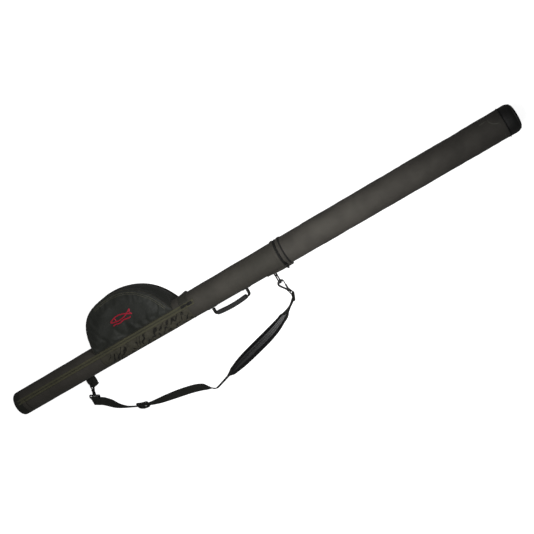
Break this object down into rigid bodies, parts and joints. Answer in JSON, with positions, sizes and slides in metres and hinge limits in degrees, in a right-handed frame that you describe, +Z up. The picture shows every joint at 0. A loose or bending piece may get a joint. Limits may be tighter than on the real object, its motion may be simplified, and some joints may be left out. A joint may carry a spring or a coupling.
{
  "type": "rod case",
  "caption": "Long padded tube for fishing rods in two rigid halves that fold apart at a ring zip, with a side reel pouch, a zipped front flap, a carry handle and a padded shoulder strap.",
  "frame": {"origin": "centre of the lower tube's mouth, where the two tube halves meet", "axes": "+X along the tube towards its top end, +Y towards the reel pouch, +Z up with the case lying on its back"},
  "size_m": [1.64, 0.3934, 0.0854],
  "materials": {
    "sleeve_fabric": "coated polyester weave",
    "pouch_fabric": "coated polyester weave",
    "tube_plastic": "matt",
    "cap_fabric": "smooth coated",
    "foam": "soft foam",
    "piping": "woven cord edge",
    "zip_tape": "woven tape",
    "zip_teeth": "nylon coil",
    "binding": "grosgrain",
    "hardware": "black",
    "embroidery": "stitched",
    "webbing": "woven webbing",
    "grip_rubber": "matt",
    "hook_metal": "gunmetal",
    "pad_back": "grippy",
    "pad_vinyl": "smooth",
    "buckle_plastic": "moulded"
  },
  "bodies": {
    "case_body": {"binding_lower": "binding", "butt_cap": "cap_fabric", "butt_pad": "foam", "channel_liner": "tube_plastic", "emblem": "embroidery", "end_patch": "pouch_fabric", "fold_hinge": "binding", "handle_anchor_a": "webbing", "handle_anchor_b": "webbing", "long_tape": "zip_tape", "long_teeth": "zip_teeth", "lower_liner": "tube_plastic", "lower_sleeve": "sleeve_fabric", "lower_swivel": "hook_metal", "lower_tab": "webbing", "pad_backing": "pad_back", "pouch_back": "pouch_fabric", "pouch_foam": "foam", "pouch_piping": "piping", "pouch_shell": "pouch_fabric", "ring_tape_lower": "zip_tape", "ring_teeth_lower": "zip_teeth", "shoulder_pad": "pad_vinyl", "strap_lower": "webbing", "strap_upper": "webbing", "upper_swivel": "hook_metal", "upper_tab": "webbing", "zip_stops": "hardware"},
    "upper_section": {"upper_liner": "tube_plastic", "upper_sleeve": "sleeve_fabric", "top_cap": "cap_fabric", "top_pad": "foam", "top_piping": "piping", "ring_tape_upper": "zip_tape", "ring_teeth_upper": "zip_teeth", "binding_upper": "binding", "fold_web": "binding"},
    "front_opening": {"front_flap": "sleeve_fabric", "gathered_flap": "pouch_fabric", "flap_tape": "zip_tape", "flap_teeth": "zip_teeth"},
    "long_zip_slider": {"long_slider": "hardware"},
    "long_zip_pull": {"long_pull": "hardware"},
    "ring_zip_slider": {"ring_slider": "hardware"},
    "ring_zip_pull": {"ring_pull": "hardware"},
    "carry_handle": {"handle_web": "webbing", "handle_grip": "grip_rubber"},
    "lower_strap_ring": {"lower_ring": "hardware"},
    "upper_strap_ring": {"upper_ring": "hardware"},
    "lower_snap_hook": {"lower_hook": "hook_metal", "lower_gate_pin": "hook_metal"},
    "upper_snap_hook": {"upper_hook": "hook_metal", "upper_gate_pin": "hook_metal"},
    "lower_hook_gate": {"lower_gate": "hook_metal"},
    "upper_hook_gate": {"upper_gate": "hook_metal"},
    "adjuster": {"strap_adjuster": "buckle_plastic"}
  },
  "joints": [
    {"name": "upper_fold", "type": "hinge", "parent": "case_body", "child": "upper_section", "pos_m": [0, -0.0437, 0], "axis": [0, 0, 1], "range_deg": [-90, 0]},
    {"name": "front_open", "type": "hinge", "parent": "case_body", "child": "front_opening", "pos_m": [0, -0.0385, 0], "axis": [1, -0.0033, 0], "range_deg": [0, 110]},
    {"name": "long_zip_run", "type": "slide", "parent": "case_body", "child": "long_zip_slider", "axis": [-1, -0.0005, -0.0032], "range_m": [0, 0.597]},
    {"name": "long_pull_swing", "type": "hinge", "parent": "long_zip_slider", "child": "long_zip_pull", "pos_m": [-0.29468, 0.00632, 0.04227], "axis": [0, 0.989, -0.1478], "range_deg": [0, 150]},
    {"name": "ring_zip_run", "type": "hinge", "parent": "case_body", "child": "ring_zip_slider", "pos_m": [0, 0, 0], "axis": [1, 0, 0], "range_deg": [-288, 0]},
    {"name": "ring_pull_swing", "type": "hinge", "parent": "ring_zip_slider", "child": "ring_zip_pull", "pos_m": [0, -0.03799, 0.02513], "axis": [-1, 0, 0], "range_deg": [0, 150]},
    {"name": "handle_swing", "type": "hinge", "parent": "case_body", "child": "carry_handle", "pos_m": [-0.193, -0.04227, 0], "axis": [1, 0, 0], "range_deg": [-60, 50]},
    {"name": "lower_ring_swing", "type": "hinge", "parent": "case_body", "child": "lower_strap_ring", "pos_m": [-0.684, -0.04065, -0.013], "axis": [1, 0, 0], "range_deg": [-2, 5]},
    {"name": "upper_ring_swing", "type": "hinge", "parent": "case_body", "child": "upper_strap_ring", "pos_m": [-0.048, -0.04865, -0.016], "axis": [0, 0, 1], "range_deg": [-2, 4]},
    {"name": "lower_hook_swivel", "type": "hinge", "parent": "case_body", "child": "lower_snap_hook", "pos_m": [-0.7062, -0.08556, -0.0254], "axis": [-0.4232, -0.8362, -0.3487], "range_deg": [-18, 18]},
    {"name": "upper_hook_swivel", "type": "hinge", "parent": "case_body", "child": "upper_snap_hook", "pos_m": [-0.03771, -0.10537, -0.02036], "axis": [0.2927, -0.9481, -0.1245], "range_deg": [-18, 18]},
    {"name": "lower_gate_open", "type": "hinge", "parent": "lower_snap_hook", "child": "lower_hook_gate", "pos_m": [-0.69915, -0.07163, -0.0143], "axis": [-0.8922, 0.4515, 0], "range_deg": [0, 20], "stiffness_Nm_per_rad": 0.02, "springref_deg": -20.05},
    {"name": "upper_gate_open", "type": "hinge", "parent": "upper_snap_hook", "child": "upper_hook_gate", "pos_m": [-0.0384, -0.08639, -0.01786], "axis": [0, -0.1302, 0.9915], "range_deg": [0, 20], "stiffness_Nm_per_rad": 0.02, "springref_deg": -20.05},
    {"name": "adjuster_slide", "type": "slide", "parent": "case_body", "child": "adjuster", "axis": [0.9538, -0.3003, 0], "range_m": [-0.01, 0.01]}
  ]
}
